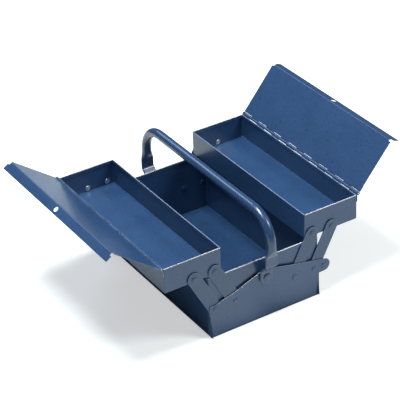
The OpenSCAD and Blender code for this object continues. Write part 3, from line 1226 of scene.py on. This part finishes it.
@dataclass
class Fixings:
    """Every rivet, washer and sleeve of the box.

    Attributes:
        layout: The sizes shared with the rest of the box.
        shank: The radius of an arm or stop rivet's shank.
        head: The head of an arm rivet, and the outer one of a stop rivet.
        stop_foot: The inner head of a stop rivet.
        handle_shank: The radius of a handle rivet's shank.
        handle_head: The outer head of a handle rivet.
        handle_foot: The inner head of a handle rivet.
        handle_seat: How far that outer head's seat stands outside the end plate.
        tray_play: The gap between an arm and the head over it.
        stop_play: The gap between the stop's sleeve and the base box.
        washer: The radius of a washer.
        washer_thick: The thickness of a washer.
        washer_blunt: How far a washer's outer edge is cut back.
        sleeve: The radius of a stop's sleeve.
    """

    layout: Layout
    shank: float = 3 * MM
    head: Head = Head()
    stop_foot: Head = Head(5 * MM, 1.2 * MM, False)
    handle_shank: float = 4 * MM
    handle_head: Head = Head(7 * MM, 2.2 * MM)
    handle_foot: Head = Head(7 * MM, 1.2 * MM, False)
    handle_seat: float = 4.7 * MM
    tray_play: float = 0.1 * MM
    stop_play: float = 0.275 * MM
    washer: float = 9 * MM
    washer_thick: float = 1 * MM
    washer_blunt: float = 0.15 * MM
    sleeve: float = 5.5 * MM

    def rivet(self, outer: Head, inner: Head, start: float, stop: float, shank: float) -> Object:
        """Turn a rivet whose outer head sits at the depth start and whose inner head sits at stop."""
        rings = outer.rings(start, -1) + [(shank, start), (shank, stop)] + inner.rings(stop, 1)[::-1]
        return turned("rivet_pattern", rings)

    def place(self, pattern: Object, spots: Sequence[Spot], *finishes: Finish) -> list[Object]:
        """Copy a pattern to its places and remove it.

        Args:
            pattern: The piece at the origin.
            spots: For each copy, what it stands for and its place.
            finishes: Its finishes, in the order of its face slots.

        Returns:
            The copies.
        """
        made = []
        for role, matrix in spots:
            piece = copy_of(pattern, role.node + "_turned", matrix)
            made.append(role.dress(piece, *finishes, narrow=0.2 * MM, smoothed=40))
        bpy.data.objects.remove(pattern)
        return made

    def at_arms(self, kind: str, slot: str, raised: bool) -> list[Spot]:
        """The spots of the rivets at one end of every arm.

        Args:
            kind: The first word of the nodes' names.
            slot: The record's material slot.
            raised: Whether they are the upper rivets, which move with the trays.

        Returns:
            What each rivet stands for and its place.
        """
        spots = []
        for end in End:
            for side in Side:
                body = f"{side.word}_tray" if raised else "base"
                for rank, x in self.layout.ranks:
                    at_x, height = self.layout.upper(x) if raised else (x, self.layout.pivot)
                    role = Role(f"{kind}_{side.word}_{rank}_{end.word}", body, slot)
                    spots.append((role, self.layout.seat(end, side.value * at_x, height)))
        return spots

    def at_ends(self, kind: str, slot: str, x: float, height: float) -> list[Spot]:
        """The spots of a piece at both ends, where x is how far right of the middle the front one is."""
        roles = [(Role(f"{kind}_{end.word}", "base", slot), end) for end in End]
        return [(role, self.layout.seat(end, -end.value * x, height)) for role, end in roles]

    def build(self) -> list[Object]:
        """Turn the rivets, washers and sleeves and put them in place.

        Returns:
            Their objects.
        """
        sizes, head, shank = self.layout, self.head, self.shank
        stop, handle = sizes.stop, (0, sizes.handle)
        seat, back = sizes.arm_depth - self.tray_play, sizes.wall - self.stop_play
        pattern = self.rivet(head, head, 0, sizes.wall + sizes.sheet, shank)
        made = self.place(pattern, self.at_arms("base_rivet", "body_paint", False), BODY_PAINT)
        pattern = self.rivet(head, head, seat, sizes.wall + sizes.tray_sheet, shank)
        for face in pattern.data.polygons:
            face.material_index = int(face.center.y < sizes.wall)
        made += self.place(pattern, self.at_arms("tray_rivet", "rivet_steel", True), RIVET_STEEL, ARM_PAINT)
        outer, inner, bore = self.handle_head, self.handle_foot, self.handle_shank
        pattern = self.rivet(outer, inner, -self.handle_seat, sizes.sheet, bore)
        made += self.place(pattern, self.at_ends("handle_rivet", "body_paint", *handle), BODY_PAINT)
        pattern = self.rivet(head, self.stop_foot, 0, back, shank)
        made += self.place(pattern, self.at_ends("stop_rivet", "body_paint", *stop), BODY_PAINT)
        rim, thick, blunt = self.washer, self.washer_thick, self.washer_blunt
        rings = [(bore, -thick), (rim - blunt, -thick), (rim, blunt - thick), (rim, 0), (bore, 0)]
        pattern = turned("washer_pattern", rings, 40, True)
        made += self.place(pattern, self.at_ends("handle_washer", "rivet_steel", *handle), RIVET_STEEL)
        rings = [(shank, sizes.sheet), (self.sleeve, sizes.sheet), (self.sleeve, back), (shank, back)]
        pattern = turned("sleeve_pattern", rings, bored=True)
        return made + self.place(pattern, self.at_ends("stop_sleeve", "rivet_steel", *stop), RIVET_STEEL)


# Lid hinges


@dataclass
class Hinge:
    """A knuckle hinge along a tray's outer rim.

    Attributes:
        layout: The sizes shared with the rest of the box.
        lid: The lid that it carries.
        knuckles: How many knuckles it has on both leaves together.
        knuckle: A knuckle's outer radius.
        gap: The gap between neighbouring knuckles.
        leaf: A leaf's thickness.
        width: A leaf's width from the axis.
        clear: How far a leaf's strip stays from the axis.
        out: How far the axis is outside the tray's wall.
        pin: The pin's radius.
        pin_blunt: How far the pin's ends are cut back.
        strip_broken: How wide the edges of a leaf's strip are rounded.
        knuckle_broken: The same for a knuckle's edges.
        tray_lead: The path to the tray's knuckles, from the strip's middle and the axis's height.
        lid_lead: The path to the lid's knuckles, from the axis and the strip's height.
        tray_roll: The angles between which the tray's knuckles are rolled, in degrees.
        lid_roll: The same for the lid's knuckles.
    """

    layout: Layout
    lid: Lid
    knuckles: int = 15
    knuckle: float = 3 * MM
    gap: float = 0.4 * MM
    leaf: float = 1 * MM
    width: float = 15 * MM
    clear: float = 3.4 * MM
    out: float = 3.2 * MM
    pin: float = 1.5 * MM
    pin_blunt: float = 0.3 * MM
    strip_broken: float = 0.25 * MM
    knuckle_broken: float = 0.15 * MM
    tray_lead: tuple[Pair, ...] = ((0, -4.4 * MM), (0, -1.6 * MM), (0.15 * MM, -0.6 * MM))
    lid_lead: tuple[Pair, ...] = ((-4.4 * MM, 0), (-3.4 * MM, 0.02 * MM), (-2.75 * MM, 0.1 * MM))
    tray_roll: Pair = (180, -130)
    lid_roll: Pair = (152, -150)

    def roll(self, lead: Sequence[Pair], start: float, stop: float) -> Object:
        """Roll one knuckle from a finger of sheet round the Y axis.

        Args:
            lead: The finger's path up to the roll, as pairs of x and height.
            start: The angle at which the roll starts, in degrees.
            stop: The angle at which it ends.

        Returns:
            The knuckle's object, with its near end at y = 0.
        """
        radius = self.knuckle - self.leaf / 2
        path = [*lead, *arc((0, 0), radius, start, stop, 14)]
        obj = trace("knuckle", [(x, 0, z) for x, z in path], fill=False)
        extrude_edges((0, self.layout.box_length / self.knuckles - self.gap, 0))
        close_edit()
        face_out(obj, (0, 0, radius), (0, 0, 1))
        thicken(obj, self.leaf, 0)
        break_edges(obj, self.knuckle_broken)
        return obj

    def row(self, first: int, knuckle: Object, centre: Pair, size: Pair) -> Object:
        """Join a flat strip and its knuckles into one leaf.

        Args:
            first: The number of the leaf's first knuckle.
            knuckle: One knuckle, which is removed.
            centre: The x and the height of the strip's middle.
            size: The strip's width and height.

        Returns:
            The leaf's object.
        """
        length = self.layout.box_length
        strip = add_block("leaf", (centre[0], 0, centre[1]), (size[0], length, size[1]))
        outwards()
        close_edit()
        break_edges(strip, self.strip_broken)
        parts = [strip]
        for i in range(first, self.knuckles, 2):
            start = i * length / self.knuckles - length / 2 + self.gap / 2
            parts.append(copy_of(knuckle, f"knuckle_{i}", Matrix.Translation((0, start, 0))))
        bpy.data.objects.remove(knuckle)
        return join(parts)

    def build(self) -> list[Object]:
        """Build both leaves and the pin.

        Returns:
            Their objects.
        """
        word, sign, (x, z) = self.lid.side.word, self.lid.side.value, self.layout.hinge
        depth, axis = self.width - self.clear, Matrix.Translation((sign * x, 0, z))
        wall = -self.out + self.leaf / 2
        roll = self.roll([(wall + across, up) for across, up in self.tray_lead], *self.tray_roll)
        leaf = self.row(0, roll, (wall, -self.clear - depth / 2), (self.leaf, depth))
        role = Role(f"tray_hinge_leaf_{word}", f"{word}_tray", "hinge_paint")
        leaf = settle(leaf, role.node + "_rolled", axis @ Matrix.Scale(sign, 4, (1, 0, 0)))
        made = [role.dress(leaf, HINGE_PAINT)]
        top = self.lid.sheet / 2 + self.leaf / 2
        roll = self.roll([(across, top + up) for across, up in self.lid_lead], *self.lid_roll)
        leaf = self.row(1, roll, (-self.clear - depth / 2, top), (depth, self.leaf))
        role = Role(f"lid_hinge_leaf_{word}", f"{word}_lid", "hinge_paint")
        leaf = settle(leaf, role.node + "_rolled", self.lid.place())
        made.append(role.dress(leaf, HINGE_PAINT))
        half, narrow = self.layout.box_length / 2, self.pin - self.pin_blunt
        side = half - self.pin_blunt
        rings = [(narrow, -half), (self.pin, -side), (self.pin, side), (narrow, half)]
        pin = turned("pin_pattern", rings, 20)
        role = Role(f"hinge_pin_{word}", f"{word}_tray", "pin_steel")
        made.append(role.dress(settle(pin, role.node + "_turned", axis), PIN_STEEL))
        return made


# The handle


@dataclass
class Handle:
    """A bent tube whose two ends are flattened, stepped inwards and riveted.

    Attributes:
        layout: The sizes shared with the rest of the box.
        radius: The tube's radius.
        bend: The radius of the bends, to the tube's middle.
        leg: How far the legs are from the middle of the box.
        top: The height of the bar.
        straight: The length of round tube below each bend.
        flatten: The length over which the tube flattens.
        width: Half the width of the flattened ends.
        thick: Half their thickness.
        step_top: Where the step inwards starts.
        step_foot: Where it ends.
        near: How far the middle of the lower flat is from the middle of the box.
        soft: The share of the step's height over which it eases in, and out again.
        spare: How much thicker a ring is made before it is pressed flat.
    """

    layout: Layout
    radius: float = 8.5 * MM
    bend: float = 50 * MM
    leg: float = 195.9 * MM
    top: float = 199.274 * MM
    straight: float = 4.3 * MM
    flatten: float = 18 * MM
    width: float = 12.5 * MM
    thick: float = 1.75 * MM
    step_top: float = 113 * MM
    step_foot: float = 93 * MM
    near: float = 179.85 * MM
    soft: float = 0.2
    spare: float = 1.1

    def ring(self, here: Pair, to: Pair, grow: Pair = (1, 1)) -> Pair:
        """Extrude the selected ring to a new place and scale it there.

        Args:
            here: The y and the height of the ring's middle.
            to: The y and the height of the new ring's middle.
            grow: How much wider and thicker the new ring is.

        Returns:
            The y and the height of the new ring's middle.
        """
        extrude_edges((0, to[0] - here[0], to[1] - here[1]))
        resize((*grow, 1), (0, *to))
        return to

    def press(self, height: float, half: float) -> None:
        """Press flat what stands out of the ring at a height by more than half a thickness.

        Args:
            height: The ring's height.
            half: Half the thickness that is left.
        """
        for sign in (-1, 1):
            face = self.leg + sign * half
            if pick(Pick.VERT, lambda v: abs(v.co.z - height) < NEAR and (v.co.y - face) * sign > 0):
                resize((1, 0, 1), (0, face, height))
        pick(Pick.VERT, lambda v: abs(v.co.z - height) < NEAR and abs(v.co.y - self.leg) < 2 * self.radius)

    def stepped(self, share: float) -> Pair:
        """How far the step inwards has gone, and how steep it is.

        Args:
            share: The share of the step's height, from its top.

        Returns:
            The share of the way inwards, and the rate at which it grows there.
        """
        rate = 1 / (1 - self.soft)
        if share < self.soft:
            return share**2 * rate / (2 * self.soft), share * rate / self.soft
        if share <= 1 - self.soft:
            return (share - self.soft / 2) * rate, rate
        rest = 1 - share
        return 1 - rest**2 * rate / (2 * self.soft), rest * rate / self.soft

    def flat_end(self, shoulder: float) -> None:
        """Flatten, step and round the leg below the selected ring.

        Args:
            shoulder: The ring's height.
        """
        taper = shoulder - self.straight
        here = self.ring((self.leg, shoulder), (self.leg, taper))
        wide, thick, steps = self.radius, self.radius, 9
        for i in range(1, steps + 1):
            share = i / steps
            ease = share * share * (3 - 2 * share)
            to_wide = self.radius + (self.width - self.radius) * ease
            to_thick = self.radius + (self.thick - self.radius) * ease
            to = (self.leg, taper - self.flatten * share)
            here = self.ring(here, to, (to_wide / wide, self.spare * to_thick / thick))
            self.press(here[1], to_thick)
            wide, thick = to_wide, to_thick
        here = self.ring(here, (self.leg, self.step_top))
        slant, drop, inset = 1.0, self.step_top - self.step_foot, self.leg - self.near
        for u in (0.07, 0.14, 0.2, 0.5, 0.8, 0.86, 0.93, 1.0):
            share, rate = self.stepped(u)
            to_slant = math.hypot(1, rate * inset / drop)
            to = (self.leg - inset * share, self.step_top - drop * u)
            here = self.ring(here, to, (1, to_slant / slant))
            slant = to_slant
        across = 1.0
        for turn in map(math.radians, (0, 15, 30, 45, 57, 68, 77, 84)):
            to = (self.near, self.layout.handle - self.width * math.sin(turn))
            here = self.ring(here, to, (math.cos(turn) / across, 1))
            across = math.cos(turn)
        bpy.ops.mesh.edge_face_add()

    def build(self) -> list[Object]:
        """Bend, flatten and mirror the handle.

        Returns:
            The handle's object.
        """
        clear_selection()
        shoulder, inner = self.top - self.bend, self.leg - self.bend
        bpy.ops.mesh.primitive_circle_add(vertices=40, radius=self.radius, location=(0, self.leg, shoulder))
        obj = open_primitive("handle_bent")
        bpy.ops.mesh.spin(steps=18, angle=math.pi / 2, center=(0, inner, shoulder), axis=(-1, 0, 0))
        for _ in range(2):
            extrude_edges((0, -inner / 2, 0))
        pick(Pick.EDGE, lambda e: level(e, 2, shoulder))
        self.flat_end(shoulder)
        outwards()
        close_edit()
        obj = join([obj, copy_of(obj, "handle_twin", Matrix.Rotation(math.pi, 4, "Z"))])
        open_edit()
        weld(NEAR)
        outwards()
        close_edit()
        role = Role("handle", "handle", "handle_paint")
        return [role.dress(obj, HANDLE_PAINT, narrow=0, smoothed=40)]


# The studio


@dataclass(frozen=True)
class Lamp:
    """A soft area lamp.

    Attributes:
        name: Its name.
        place: Where it hangs.
        power: Its power in watts.
        size: Its width and height.
        aim: What it points at.
        colour: The colour of its light.
    """

    name: str
    place: Point
    power: float
    size: Pair
    aim: Point = (0, 0, 0.1)
    colour: Point = (1, 1, 1)

    def hang(self) -> Object:
        """Hang the lamp.

        Returns:
            Its object.
        """
        data = bpy.data.lights.new(self.name, "AREA")
        data.shape = "RECTANGLE"
        data.size, data.size_y = self.size
        data.energy = self.power
        data.color = self.colour
        obj = bpy.data.objects.new(self.name, data)
        bpy.context.scene.collection.objects.link(obj)
        obj.location = self.place
        obj.rotation_euler = (Vector(self.aim) - Vector(self.place)).to_track_quat("-Z", "Y").to_euler()
        return obj


@dataclass
class Studio:
    """A pale floor, soft lights and a camera at the photo's angle.

    Attributes:
        eye: Where the camera stands.
        right: The camera's own x axis.
        up: The camera's own y axis.
        back: The camera's own z axis.
        lens: The lens's focal length in millimetres.
        sensor: The sensor's width in millimetres.
        clip: The nearest and the farthest that the camera sees.
        floor: The floor's middle.
        floor_size: Its length along each axis.
        dimness: The strength of the even light from all round.
        lamps: The lamps.
    """

    eye: Point = (-1.3087424, -2.1236247, 1.6942638)
    right: Point = (0.841155, -0.539610, -0.035764)
    up: Point = (0.311310, 0.429076, 0.847927)
    back: Point = (-0.442204, -0.724372, 0.528906)
    lens: float = 154.88
    sensor: float = 36
    clip: Pair = (0.05, 60)
    floor: Point = (0.25, 0.05, 0.0)
    floor_size: Point = (2.2, 2.7, 1.0)
    dimness: float = 0.06
    lamps: tuple[Lamp, ...] = (
        Lamp("key", (-0.32, 0.05, 1.9), 50.0, (0.8, 0.8)),
        Lamp("fill", (1.05, -1.25, 1.6), 20.0, (0.6, 0.6)),
        Lamp("back", (-0.15, 1.65, 1.75), 7.0, (0.9, 0.5), (0, 0, 0.15), (0.75, 0.88, 1.0)),
    )

    def camera(self) -> Object:
        """Stand the camera where the photo was taken from.

        Returns:
            The camera.
        """
        data = bpy.data.cameras.new("camera")
        data.lens = self.lens
        data.sensor_width = self.sensor
        data.clip_start, data.clip_end = self.clip
        obj = bpy.data.objects.new("camera", data)
        bpy.context.scene.collection.objects.link(obj)
        turn = Matrix((self.right, self.up, self.back)).transposed().to_4x4()
        obj.matrix_world = Matrix.Translation(self.eye) @ turn
        bpy.context.scene.camera = obj
        return obj

    def ground(self) -> Object:
        """Lay the floor.

        Returns:
            The floor.
        """
        clear_selection()
        bpy.ops.mesh.primitive_plane_add(size=1, location=self.floor)
        obj = open_primitive("floor")
        resize(self.floor_size, self.floor)
        close_edit()
        obj.data.materials.append(FloorPaint("pale_floor").material())
        return obj

    def sky(self) -> None:
        """Fill the world with an even dim light, and let the camera see it as white."""
        world = bpy.data.worlds.new("studio_world")
        bpy.context.scene.world = world
        world.use_nodes = True
        nodes, links = world.node_tree.nodes, world.node_tree.links
        plain = next(n for n in nodes if n.type == "BACKGROUND")
        plain.inputs["Color"].default_value = (1, 1, 1, 1)
        strength = nodes.new("ShaderNodeMapRange")
        strength.inputs["To Min"].default_value = self.dimness
        strength.inputs["To Max"].default_value = 1.0
        links.new(nodes.new("ShaderNodeLightPath").outputs["Is Camera Ray"], strength.inputs["Value"])
        links.new(strength.outputs["Result"], plain.inputs["Strength"])

    def build(self) -> list[Object]:
        """Set up the camera, the floor and the lamps.

        Returns:
            Their objects.
        """
        bpy.context.scene.view_settings.view_transform = "Standard"
        self.sky()
        return [self.camera(), self.ground(), *(lamp.hang() for lamp in self.lamps)]


def main() -> None:
    """Build the tool box, sub-assembly by sub-assembly, and the studio round it."""
    logging.basicConfig(level=logging.INFO, format="%(name)s %(message)s", force=True)
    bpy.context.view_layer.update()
    layout = Layout()
    assemblies = [Pan("base_box", "base", layout.sheet, 3 * MM, 2.4 * MM)]
    assemblies += [EndPlate(layout, end) for end in End]
    assemblies += [Arms(layout), Fixings(layout)]
    for side in Side:
        lid = Lid(layout, side)
        tray = Pan(f"tray_{side.word}", f"{side.word}_tray", layout.tray_sheet, 2 * MM, 1.8 * MM)
        assemblies += [tray, lid, Hinge(layout, lid)]
    assemblies.append(Handle(layout))
    for assembly in assemblies:
        for piece in assembly.build():
            LOG.info("%s: %d faces", piece.name, len(piece.data.polygons))
    Studio().build()


if __name__ == "__main__":
    main()
